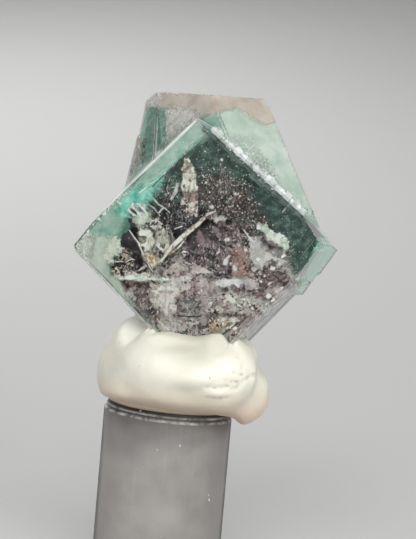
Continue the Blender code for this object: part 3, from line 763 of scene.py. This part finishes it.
# Slivers: a line of pixels, a width in pixels, a depth and colours.
SLIVERS = {
    "long_diagonal": ([(206, 217), (198, 224), (188, 232), (178, 241), (170, 249), (160, 262)], 5.0, 0.7,
        CREAM),
    "diagonal_edge": ([(216, 211), (208, 214), (200, 220)], 2.5, 0.75, CREAM),
    "second_line": ([(186, 238), (180, 246), (174, 251), (168, 255)], 1.6, 0.75, CREAM),
    "cream_line": ([(129, 230), (134, 237), (138.5, 243), (142.6, 253), (151, 269), (160, 277)], 2.0, 0.6,
        CREAM),
    "swirl_rim": ([(114, 262), (120, 261.5), (126, 262), (131, 259), (135, 260)], 1.3, 0.6, CREAM),
    "red_edge": ([(137, 272), (142, 268), (147, 265)], 1.6, 0.6, CREAM),
    "fibre_0": ([(176, 313), (188, 314), (204, 312.5)], 1.8, 0.8, CREAM),
    "fibre_1": ([(175, 318.5), (186, 319.5), (200, 319)], 1.6, 0.8, CREAM),
    "fibre_2": ([(176, 315.7), (190, 316.7), (202, 316)], 1.4, 0.78, BLACK),
    "fibre_3": ([(176, 321), (184, 325), (193, 331)], 1.5, 0.7, CREAM),
    "fibre_4": ([(181, 320), (190, 326), (197, 331)], 1.2, 0.7, CREAM),
    "fibre_5": ([(150, 296), (158, 302), (166, 312)], 1.6, 0.7, CREAM),
    "fibre_6": ([(156, 318), (164, 326), (172, 332)], 1.6, 0.6, CREAM),
    "fibre_7": ([(152, 318), (157, 313.5), (158, 310)], 1.3, 0.6, CREAM),
    "light_line": ([(243, 229), (249, 237), (255, 244)], 1.8, 0.9, WHITE),
    "grey_wisp": ([(178, 183), (176, 191), (171, 200)], 4.0, 0.9, GREY),
    "pale_fibre_0": ([(152, 197), (158, 204), (166, 209), (170, 213)], 1.6, 0.8, MINT_WHITE),
    "pale_fibre_1": ([(157, 215), (162, 209), (168, 206)], 1.4, 0.8, PALE_YELLOW),
    "pale_fibre_2": ([(148, 204), (154, 208), (160, 216)], 1.3, 0.8, GREY),
    "pale_fibre_3": ([(174, 229), (180, 227), (186, 225)], 1.8, 0.8, CREAM),
    "dark_diagonal": ([(222, 335), (230, 329), (241, 321)], 1.5, 0.7, BROWN),
    "cream_low": ([(216, 334), (224, 330), (232, 325)], 2.5, 0.72, PALE_YELLOW),
    "red_diagonal": ([(254, 305), (258, 311), (261, 318)], 2.4, 0.8, BROWN),
    "squiggle_0": ([(163, 275), (170, 268), (178, 262), (186, 268), (194, 276)], 1.4, 1.0, CREAM),
    "squiggle_1": ([(176, 266), (184, 262), (190, 264), (198, 266)], 1.3, 1.0, CREAM),
    "glint_0": ([(155, 181), (148, 186), (138, 194)], 2.0, 0.3, MINT_WHITE),
    "film_step": ([(290, 203), (286, 208), (282, 213)], 1.5, 0.6, MINT_WHITE),
    "wall_line": ([(299, 276), (297.5, 284), (298, 292)], 1.6, 0.3, BROWN),
    "stroke_0": ([(131, 212), (134, 214), (138, 219)], 1.2, 0.3, MINT_WHITE),
    "stroke_1": ([(132, 207), (137, 211.5), (143, 220)], 2.2, 0.3, WHITE),
    "stroke_2": ([(136, 208), (140, 212.5), (143, 216)], 1.2, 0.3, MINT_WHITE),
    "stroke_3": ([(137, 203), (142.5, 208), (148, 214.5)], 2.4, 0.3, WHITE),
    "stroke_4": ([(142, 204), (145, 206), (148, 209.5)], 1.2, 0.3, MINT_WHITE),
    "stroke_5": ([(128, 207), (130, 211), (134, 216)], 1.6, 0.3, WHITE),
    "glint_1": ([(118, 201.5), (120, 203.5), (122, 204.5)], 2.6, 0.3, MINT_WHITE),
    "glint_2": ([(133.5, 203), (132, 206), (130, 208)], 3.2, 0.3, MINT_WHITE),
    "glint_3": ([(127.5, 209.5), (129.5, 211), (131, 213)], 2.8, 0.3, MINT_WHITE),
    "inner_edge": ([(150, 184), (166, 168), (182, 153), (203, 135)], 1.0, 0.45, MINT),
    "inner_edge_dark": ([(152, 187), (168, 171), (185, 156), (205, 138)], 1.2, 0.45,
        tones((0.02, 0.09, 0.07), (0.05, 0.15, 0.12), 0.3, 0.7)),
    "wedge_line": ([(208, 131), (198, 138), (184, 149)], 1.0, 0.3, MINT_WHITE),
}
# Webs of threads: outline, depth, crumple, colours, grain, width and mapping.
WEBS = {
    "cream_threads": (LEFT_ZONE, 0.65, 0.3, CREAM, 0.5, 0.012, {"turn": (20, 30, 10)}),
    "haze_threads": (HAZE_ZONE, 0.85, 0.3, CREAM, 0.45, 0.009, {}),
    "dark_threads": (LEFT_ZONE, 0.95, 0.3, BROWN, 0.5, 0.012, {}),
    "film_threads": (BLACK_ZONE, 0.75, 0.1, GREY, 0.5, 0.008,
                     {"stretch": (1.5, 1, 0.6), "turn": (0, 40, 0)}),
}
# Materials of chips: colours and roughness.
CHIP_LOOKS = {
    "black": (BLACK, 0.4), "brown": (BROWN, 0.4), "cream": (CREAM, 0.4), "pink": (HAZE, 0.4),
    "gold": (GOLD, 0.4), "white": (WHITE, 0.3),
    "shade": (tones((0.12, 0.2, 0.16), (0.4, 0.5, 0.43), 0.3, 0.7), 0.4),
    "green": (tones((0.2, 0.4, 0.33), (0.8, 0.95, 0.88), 0.3, 0.7), 0.3),
}
# Chips of the core and the dark film, behind the square face: outline, count, smallest and largest size,
# depths, material and settings.
CORE_CHIPS = {
    "black_chips": (BLACK_ZONE, 500, (0.04, 0.25), (0.7, 1.2), "black", {"clump": 0.45}),
    "left_black_chips": (LEFT_ZONE, 200, (0.04, 0.16), (0.6, 1.1), "black", {"clump": 0.5}),
    "lower_black_chips": (LOWER_ZONE, 120, (0.03, 0.14), (0.7, 1.6), "black", {"clump": 0.5, "long": 3}),
    "brown_chips": (CORE_ZONE, 260, (0.03, 0.12), (0.7, 1.6), "brown", {"long": 2.5}),
    "pink_chips": (HAZE_ZONE, 700, (0.04, 0.16), (0.8, 1.6), "pink", {"long": 2.5}),
    "cream_chips": (LEFT_ZONE, 350, (0.03, 0.12), (0.5, 1.1), "cream", {"long": 4, "clump": 0.45}),
    "lower_cream_chips": (LOWER_ZONE, 500, (0.03, 0.12), (0.6, 1.6), "cream", {"long": 4}),
    "black_zone_fibres": (BLACK_ZONE, 150, (0.03, 0.09), (0.6, 1.1), "pink", {"long": 6, "clump": 0.45}),
    "boundary_dots": (FILM_DOTS, 340, (0.05, 0.14), (0.4, 0.95), "cream", {"long": 1.2, "clump": 0.5}),
    "boundary_brown": (FILM_DOTS, 500, (0.05, 0.2), (0.5, 0.98), "brown", {"long": 1.5, "clump": 0.45}),
    "white_specks": (CORE_ZONE, 700, (0.02, 0.08), (0.4, 1.3), "white", {}),
    "film_specks": (DARK_ZONE, 1100, (0.02, 0.06), (0.4, 0.9), "green", {}),
    "film_dots": (DARK_ZONE, 150, (0.05, 0.11), (0.4, 0.8), "green", {"clump": 0.5}),
    "film_white_dots": (FILM_DOTS, 115, (0.05, 0.13), (0.4, 0.8), "white", {"long": 1.2}),
    "cluster_dark_chips": (CLUSTER, 110, (0.05, 0.2), (0.65, 0.95), "black", {"long": 2, "clump": 0.5}),
    "cluster_cream_chips": (CLUSTER, 260, (0.07, 0.28), (0.5, 0.75), "cream",
                            {"long": 2.5, "clump": 0.4}),
    "far_left_dark": (FAR_LEFT, 130, (0.05, 0.2), (0.5, 0.8), "black", {"long": 2.5, "clump": 0.5}),
    "far_left_gold": (FAR_LEFT, 120, (0.04, 0.14), (0.4, 0.7), "gold", {"long": 4, "clump": 0.5}),
}
# Chips below whatever face shows.
FACE_CHIPS = {
    "striations": (STRIATED, 45, (0.03, 0.06), (0.2, 0.38), "white",
                   {"long": 9, "tilt": 0.08, "lean": -50}),
    "tip_striations": (TIP_ZONE, 40, (0.04, 0.07), (0.1, 0.3), "white",
                       {"long": 10, "tilt": 0.08, "lean": -60}),
    "band_specks": (UPPER_LEFT_BAND, 160, (0.02, 0.06), (0.2, 0.5), "white", {}),
    "pale_specks": (PALE_SPECKS, 520, (0.04, 0.19), (0.05, 0.2), "white", {}),
    "junction_glitter": (GLITTER_LINE, 320, (0.04, 0.16), (0.08, 0.3), "white", {}),
    "pale_dark_specks": (PALE_SPECKS, 260, (0.04, 0.12), (0.1, 0.3), "shade", {"clump": 0.45}),
    "grey_specks": (GREY_ZONE, 320, (0.03, 0.11), (0.06, 0.18), "white", {}),
    "grey_dark_specks": (GREY_ZONE, 120, (0.02, 0.07), (0.06, 0.18), "brown", {}),
    "strip_dark": (STRIP_ZONE, 160, (0.05, 0.2), (0.2, 0.5), "black", {"long": 4, "lean": 70}),
    "strip_white": (STRIP_ZONE, 80, (0.03, 0.1), (0.1, 0.4), "white", {"long": 3, "lean": 70}),
    "shelf_chips": (SHELF_ZONE, 120, (0.05, 0.2), (0.08, 0.3), "cream", {"long": 3, "lean": 70}),
    "corner_frost": (CORNER_FROST, 220, (0.05, 0.25), (0.1, 0.5), "white", {}),
}


def spoken(name):
    return name.replace("_", " ")


def build_zones():
    """Colour zones of the stone as thin films below its faces; some are painted shade, light or reflection.
    """
    for name, (outline, depth, window, step, colours, grain, settings) in ZONES.items():
        make = lace_material if "cover" in settings else film_material
        film(name, outline, depth, make(spoken(name), colours, grain, **settings), window, step=step)


def build_core():
    """The torn veils, patches, spots, threads and chips in the middle of the block."""
    ground = film_material("brown core", tones((0.02, 0.014, 0.015), (0.2, 0.15, 0.15), 0.36, 0.64), 0.5,
                           detail=8)
    film("core_sheet", CORE_ZONE, 3.4, ground, FRONT, step=2.5, crumple=0.6)
    for name, (outline, depth, colours, torn, grain) in PATCHES.items():
        material = film_material(spoken(name), colours, grain, ragged=1.5 * torn + 0.08,
                                 edge=(-0.03, 0.03), shards=True)
        film(name, outline, depth, material, FRONT, step=1.2, crumple_size=0.5)
    for name, (line, width, depth, colours) in SLIVERS.items():
        material = film_material(spoken(name), colours, 0.2, ragged=0.03, edge=(-0.02, 0.02), shards=True)
        film(name, streak(line, width), depth, material, FRONT, step=0.6, crumple=0.06, crumple_size=0.5)
    for i, (x, y, width, height, depth, colours) in enumerate(SPOTS):
        material = film_material(f"spot {i}", colours, 0.2, ragged=0.1, edge=(-0.03, 0.03), shards=True)
        film(f"spot_{i}", oval(x, y, width, height), depth, material, FRONT, step=0.8, crumple=0.05)
    for name, (outline, depth, crumple, colours, grain, width, mapping) in WEBS.items():
        material = web_material(spoken(name), colours, grain, width, **mapping)
        film(name, outline, depth, material, FRONT, crumple=crumple)
    looks = {tone: chip_material(f"{tone} chips", *values) for tone, values in CHIP_LOOKS.items()}
    for window, table in ((FRONT, CORE_CHIPS), (None, FACE_CHIPS)):
        for name, (outline, count, sizes, depths, tone, settings) in table.items():
            chips(name, outline, count, sizes, depths, looks[tone], window, **settings)


# The putty.

PUTTY_VOXEL = 0.11
PUTTY_SMOOTHING = 70
# Creases in the putty: a line of pixels and a depth.
CREASES = [
    ([(207, 386.5), (216, 388), (226, 387), (234, 389.5), (240, 386), (246, 379), (252, 375.5),
      (258, 373)], 0.08),
    ([(222, 381), (230, 380.5), (238, 383)], 0.04),
    ([(233, 372), (240, 375), (247, 373)], 0.05),
    ([(240, 358), (243, 363), (242, 369)], 0.05),
    ([(246, 344), (250, 346), (255, 350), (256, 355)], 0.06),
    ([(208, 397), (218, 398.5), (230, 396.5)], 0.04),
]
CREASE_WIDTH = 1.7
CREASE_GRIME = 0.4
# The putty's shapes fade out where it turns from the camera's side. Its foot is warmer and darker in
# colour: partly its own tint, partly painted shade.
FRONT_FACING = (0.0, 0.35)
WARM_AND_SHADE_MOST = 0.9
WARM_AND_SHADE_HEIGHT = (0.4, 2.4)
# Places pressed in (negative) or swelling out: the pixel, its reach across and down, and millimetres.
SWELLS = [
    ((190, 354), (46, 11), -0.28),
    ((188, 379), (24, 10), 0.34),
    ((262, 384), (9, 20), 0.24),
    ((217, 394), (12, 4), 0.09),
    ((123, 350), (10, 24), 0.24),
    ((138, 324), (12, 9), 0.25),
]
# Where the putty climbs up over the crystal's lower corner.
FRONT_LIP = ((220, 343), (30, 9), 0.45)
# Where the crystal above shades the putty: painted shade, greyer and darker.
SADDLE_SHADE = ((192, 348), (38, 14))
# Small lumps all over: their height and size.
LUMPS = [(0.035, 1.5), (0.012, 0.45)]
# Where the putty's lower edge shows over the post, in pixels, the pixels across where it starts and
# stops being lifted there, and how far above and below it the putty is squeezed.
LOWER_EDGE = [
    (96, 393), (112, 399), (130, 403), (150, 407), (172, 411), (200, 415), (233, 418), (250, 424),
]
EDGE_START, EDGE_STOP = (97, 112), (230, 246)
EDGE_ABOVE, EDGE_BELOW = 0.5, 0.6
# The putty lies on the stone and on the post's ring up to the first distance, and parts from them by the
# second. It reaches this far into them.
STONE_HOLD = (0.45, 0.75)
STONE_SINK = 0.02
RING_HOLD = (0.25, 0.6)
RING_SINK = 0.01
RING_RIM = 0.25
# The post's top is cut at a slant, and a ring stands on it under the putty.
POST_SLANT = math.tan(math.radians(1.5))
RING_HEIGHT = 0.34


def to_pixels(points):
    """The pixels at which points of the part, in millimetres, show."""
    turned = (points - np.array(CAMERA_PLACE)) @ np.array(CAMERA_TURN)
    scale = FOCAL_PIXELS / -turned[:, 2]
    return np.column_stack([IMAGE_WIDTH / 2 + turned[:, 0] * scale, IMAGE_HEIGHT / 2 - turned[:, 1] * scale])


def ease(value, low, high):
    """0 up to low and 1 from high on, with a smooth step between."""
    share = np.clip((value - low) / (high - low), 0, 1)
    return share * share * (3 - 2 * share)


def hump(pixels, middle, reach):
    """1 at the middle pixel, fading smoothly over a reach across and down."""
    return np.exp(-(((pixels - middle) / reach) ** 2).sum(1))


def putty_material():
    """Matte cream putty, dirty in its creases, with painted shade in its saddle and at its warm-tinted foot.
    """
    material, tree, shader = new_material("cream putty")
    specks = spread(tree, noise_value(tree, 0.22, detail=2), 0.74, 0.78)
    grime = maths(tree, "ADD", point_value(tree, "grime"), specks)
    colour = ramp(tree, noise_value(tree, 1.6), tones((0.68, 0.66, 0.56), (0.76, 0.75, 0.66), 0.3, 0.7))
    # Painted shade in the saddle, under the crystal.
    colour = mix(tree, point_value(tree, "saddle_shade"), colour, (0.46, 0.45, 0.37))
    # Towards the foot: partly warm tint, partly painted shade.
    colour = mix(tree, point_value(tree, "warm_and_shade"), colour, (0.74, 0.57, 0.44))
    colour = mix(tree, grime, colour, (0.2, 0.16, 0.1))
    set_inputs(tree, shader, {"Base Color": colour, "Roughness": 0.5, "Subsurface Weight": 0.2,
                              "Subsurface Radius": (1, 0.7, 0.45), "Subsurface Scale": 0.4 * MM})
    bump(tree, shader, noise_value(tree, 0.25, detail=6), 0.25, 0.03)
    return material


def softened(piece):
    """The piece's mesh, remade in fine voxels and smoothed."""
    fine = piece.modifiers.new("fine", "REMESH")
    fine.mode = "VOXEL"
    fine.voxel_size = PUTTY_VOXEL * MM
    soft = piece.modifiers.new("soft", "SMOOTH")
    soft.factor = 0.5
    soft.iterations = PUTTY_SMOOTHING
    bpy.context.view_layer.update()
    mesh = bpy.data.meshes.new_from_object(piece.evaluated_get(bpy.context.evaluated_depsgraph_get()))
    piece.modifiers.clear()
    mesh.shade_smooth()
    return mesh


def mould(points, normals, pixels, front):
    """Press the creases, swells and lumps into the putty's points and lift its lower edge; how dirty
    each point is."""
    push = np.zeros(len(points))
    grime = np.zeros(len(points))
    broken = np.array([0.75 + 1.1 * noise.noise(Vector((x, y, 0)) / 4) for x, y in pixels])
    for line, depth in CREASES:
        near = np.exp(-(distance_to_line(pixels, line) / CREASE_WIDTH) ** 2) * front * broken
        push -= near * depth
        grime = np.maximum(grime, near ** 3 * CREASE_GRIME)
    for middle, reach, height in SWELLS:
        push += hump(pixels, middle, reach) * front * height
    middle, reach, lift = FRONT_LIP
    points[:, 2] += hump(pixels, middle, reach) * front * lift
    for i, place in enumerate(points):
        push[i] += sum(height * noise.noise(Vector(place) / size) for height, size in LUMPS)
    points += normals * push[:, None]
    edge = np.array(LOWER_EDGE, float)
    above = (np.interp(pixels[:, 0], edge[:, 0], edge[:, 1]) - pixels[:, 1]) * PIXEL
    span = EDGE_ABOVE + EDGE_BELOW
    squeezed = EDGE_ABOVE * (np.clip(above + EDGE_BELOW, 0, span) / span) ** 2.2
    over_post = ease(pixels[:, 0], *EDGE_START) * (1 - ease(pixels[:, 0], *EDGE_STOP))
    lift = np.where(above < EDGE_ABOVE, np.clip(squeezed - above, 0, EDGE_BELOW), 0)
    points[:, 2] += lift * over_post
    return grime


def meet_neighbours(points):
    """Lay the putty's points on the crystal and on the post's ring where they are near."""
    for i, place in enumerate(points):
        place = Vector(place)
        nearest, _, _, distance = STONE.find_nearest(place, STONE_HOLD[1])
        if nearest is not None:
            target = nearest + (nearest - place).normalized() * STONE_SINK
            points[i] = place.lerp(target, 1 - ease(distance, *STONE_HOLD))
    top = POST_HEIGHT + RING_HEIGHT - points[:, 0] * POST_SLANT
    radius = np.hypot(points[:, 0], points[:, 1])
    near = 1 - ease(points[:, 2] - top, *RING_HOLD)
    over = 1 - ease(radius, POST_RADIUS - RING_RIM, POST_RADIUS)
    points[:, 2] += (top - RING_SINK - points[:, 2]) * (near * over)


def build_putty():
    """The CAD putty in a fine mesh, pressed onto the crystal and the post, with creases, dirt and painted
    shade.
    """
    piece = add_object("putty_pressed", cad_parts["putty"].data.copy())
    mesh = softened(piece)
    piece.data = mesh
    points, normals = np.empty(len(mesh.vertices) * 3), np.empty(len(mesh.vertices) * 3)
    mesh.vertices.foreach_get("co", points)
    mesh.vertices.foreach_get("normal", normals)
    points, normals = points.reshape(-1, 3) / MM, normals.reshape(-1, 3)
    pixels = to_pixels(points)
    toward = np.array(CAMERA_PLACE) - points
    front = ease((normals * toward).sum(1) / np.linalg.norm(toward, axis=1), *FRONT_FACING)
    grime = mould(points, normals, pixels, front)
    meet_neighbours(points)
    mesh.vertices.foreach_set("co", (points * MM).ravel())
    mesh.update()
    point_values(mesh, "grime", grime)
    # Warm tint and painted shade towards the foot.
    point_values(mesh, "warm_and_shade", (1 - ease(points[:, 2] - POST_HEIGHT, *WARM_AND_SHADE_HEIGHT)) * WARM_AND_SHADE_MOST)
    # Painted shade in the saddle, under the crystal.
    point_values(mesh, "saddle_shade", hump(pixels, *SADDLE_SHADE) * front)
    mesh.materials.clear()
    mesh.materials.append(putty_material())
    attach(piece, "root")
    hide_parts("putty")


# The post.

POST_SEGMENTS = 144
POST_WELD = 0.001
# The post's outline from its foot: radius, height, share of the top's slant, how bright its edge is
# (partly wear, partly painted highlight), and how dark the ring is.
POST_OUTLINE = [
    (0.0, 0.0, 0, 0, 0), (POST_RADIUS - 0.08, 0.0, 0, 0, 0), (POST_RADIUS - 0.02, 0.02, 0, 0.4, 0),
    (POST_RADIUS, 0.08, 0, 0, 0), (POST_RADIUS, 2.5, 0, 0, 0), (POST_RADIUS, 5.0, 0.5, 0, 0),
    (POST_RADIUS, POST_HEIGHT - 0.12, 1, 0, 0), (POST_RADIUS - 0.01, POST_HEIGHT - 0.06, 1, 1, 0),
    (POST_RADIUS - 0.06, POST_HEIGHT, 1, 1, 0), (POST_RADIUS - 0.13, POST_HEIGHT + 0.01, 1, 0.3, 0.6),
    (POST_RADIUS - 0.15, POST_HEIGHT + 0.08, 1, 0, 0.9),
    (POST_RADIUS - 0.11, POST_HEIGHT + 0.14, 1, 0.8, 0.3),
    (POST_RADIUS - 0.12, POST_HEIGHT + 0.18, 1, 0.8, 0.3),
    (POST_RADIUS - 0.16, POST_HEIGHT + 0.23, 1, 0, 0.9),
    (POST_RADIUS - 0.18, POST_HEIGHT + RING_HEIGHT, 1, 0, 1), (0.0, POST_HEIGHT + RING_HEIGHT, 1, 0, 1),
]


def post_material():
    """Smoky grey plastic: streaked and speckled, with painted shade under its rim, along its outline and on
    its right, with bright edges that are partly wear and partly painted highlight, and a dark ring on top."""
    material, tree, shader = new_material("smoky grey plastic")
    place = add_node(tree, "ShaderNodeSeparateXYZ", {0: object_place(tree)})
    streaks = spread(tree, noise_value(tree, 0.8, detail=5, stretch=(3, 3, 0.12)), 0.6, 0.75, 0, 0.4)
    waver = spread(tree, noise_value(tree, 1.5), 0, 1, -0.6 * MM, 0.6 * MM)
    # Painted shade: darker towards the top, under the rim.
    upper = spread(tree, maths(tree, "ADD", place.outputs["Z"], waver), 5.0 * MM, 7.2 * MM, 0, 0.5)
    # Painted shade on the right, away from the light.
    right_shade = spread(tree, place.outputs["X"], -1 * MM, 3 * MM, 0, 0.3)
    facing = add_node(tree, "ShaderNodeLayerWeight", {"Blend": 0.5}).outputs["Facing"]
    shade = maths(tree, "MAXIMUM", upper, right_shade)
    # Painted shade along the outline, where the rod turns away from the camera.
    shade = maths(tree, "MAXIMUM", shade, spread(tree, facing, 0.66, 0.84, 0, 0.9))
    shade = maths(tree, "MAXIMUM", shade, point_value(tree, "ring"))
    # Bright edges: partly wear, partly painted highlight.
    worn = spread(tree, noise_value(tree, 0.35, detail=5), 0.38, 0.6)
    wear_and_highlight = maths(tree, "MULTIPLY", point_value(tree, "edge"), worn)
    dots = spread(tree, noise_value(tree, 0.28, detail=1), 0.77, 0.8)
    colour = ramp(tree, noise_value(tree, 1.8, detail=6),
                  tones((0.24, 0.225, 0.215), (0.33, 0.315, 0.3), 0.3, 0.7))
    colour = mix(tree, streaks, colour, (0.4, 0.39, 0.37))
    colour = mix(tree, shade, colour, (0.035, 0.033, 0.032))
    colour = mix(tree, maths(tree, "MAXIMUM", wear_and_highlight, dots), colour, (0.62, 0.62, 0.6))
    gloss = spread(tree, noise_value(tree, 0.9, detail=6), 0.3, 0.7, 0.28, 0.5)
    set_inputs(tree, shader, {"Base Color": colour, "Roughness": gloss})
    bump(tree, shader, noise_value(tree, 0.5, detail=6, stretch=(2, 2, 0.3)), 0.2, 0.02)
    return material


def build_post():
    """The rod, turned with its cut rim: two bright edges, partly painted highlight, with a dark ring between
    them.
    """
    points, faces, edges, rings = [], [], [], []
    for radius, height, slant, edge, ring in POST_OUTLINE:
        for i in range(POST_SEGMENTS):
            angle = math.tau * i / POST_SEGMENTS
            x, y = radius * math.cos(angle), radius * math.sin(angle)
            points.append((x, y, height - x * POST_SLANT * slant))
            edges.append(edge)
            rings.append(ring)
    for row in range(len(POST_OUTLINE) - 1):
        low, high = row * POST_SEGMENTS, (row + 1) * POST_SEGMENTS
        for i in range(POST_SEGMENTS):
            j = (i + 1) % POST_SEGMENTS
            faces.append((low + i, low + j, high + j, high + i))
    piece = mesh_piece("post_rod", points, faces, post_material())
    mesh = piece.data
    point_values(mesh, "edge", edges)
    point_values(mesh, "ring", rings)
    work = bmesh.new()
    work.from_mesh(mesh)
    bmesh.ops.remove_doubles(work, verts=work.verts, dist=POST_WELD * MM)
    bmesh.ops.recalc_face_normals(work, faces=work.faces)
    work.to_mesh(mesh)
    work.free()
    mesh.shade_smooth()
    mesh.set_sharp_from_angle(angle=math.radians(40))
    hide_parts("post")


# Stage, lights and camera.

def build_stage():
    """A pale floor that curves up into a backdrop."""
    reach, back, height, bend, steps = 1500.0, 700.0, 1600.0, 640.0, 24
    profile = [(-reach, 0.0), (back - bend, 0.0)]
    for i in range(1, steps + 1):
        angle = math.radians(90 * i / steps)
        profile.append((back - bend + bend * math.sin(angle), bend - bend * math.cos(angle)))
    profile.append((back, height))
    points = [(x, y, z) for y, z in profile for x in (-reach, reach)]
    faces = [(2 * i, 2 * i + 1, 2 * i + 3, 2 * i + 2) for i in range(len(profile) - 1)]
    mesh = new_mesh("sweep", points, faces)
    mesh.shade_smooth()
    material, tree, shader = new_material("pale sweep")
    set_inputs(tree, shader, {"Base Color": (0.44, 0.44, 0.435, 1), "Roughness": 0.9})
    mesh.materials.append(material)
    add_object("sweep", mesh)


# The lamps aim at the middle of the crystal: place, size and power.
LAMP_AIM = Vector((0.8, 0, 15))
LAMPS = {
    "key": ((-40, -240, 185), (180, 140), 0.54),
    "fill": ((150, -220, 112), (200, 110), 0.5),
    "rim": ((-90, 240, 210), (200, 120), 0.6),
}


def build_light():
    """Three soft lamps, and a sky that is brighter overhead, shown with plain colours."""
    for name, (place, size, power) in LAMPS.items():
        data = bpy.data.lights.new(name, "AREA")
        data.shape = "RECTANGLE"
        data.size, data.size_y = (s * MM for s in size)
        data.energy = power
        lamp = add_object(name, data)
        lamp.location = Vector(place) * MM
        lamp.rotation_euler = (LAMP_AIM - Vector(place)).to_track_quat("-Z", "Y").to_euler()
    world = bpy.data.worlds.new("studio")
    bpy.context.scene.world = world
    world.use_nodes = True
    tree = world.node_tree
    around = add_node(tree, "ShaderNodeTexCoord").outputs["Generated"]
    up = add_node(tree, "ShaderNodeSeparateXYZ", {0: around}).outputs["Z"]
    sky = ramp(tree, up, tones((0.1, 0.1, 0.1), (0.55, 0.55, 0.55), 0.0, 0.75))
    tree.links.new(sky, tree.nodes["Background"].inputs["Color"])
    bpy.context.scene.view_settings.view_transform = "Standard"


def build_camera():
    data = bpy.data.cameras.new("camera")
    data.sensor_width = SENSOR
    data.lens = SENSOR * FOCAL_PIXELS / IMAGE_HEIGHT
    data.clip_start = 1 * MM
    data.clip_end = 10.0
    camera = add_object("camera", data)
    camera.matrix_world = Matrix.Translation(CAMERA_PLACE * MM) @ CAMERA_TURN.to_4x4()
    bpy.context.scene.camera = camera


build_crystal()
build_zones()
build_core()
build_putty()
build_post()
build_stage()
build_light()
build_camera()
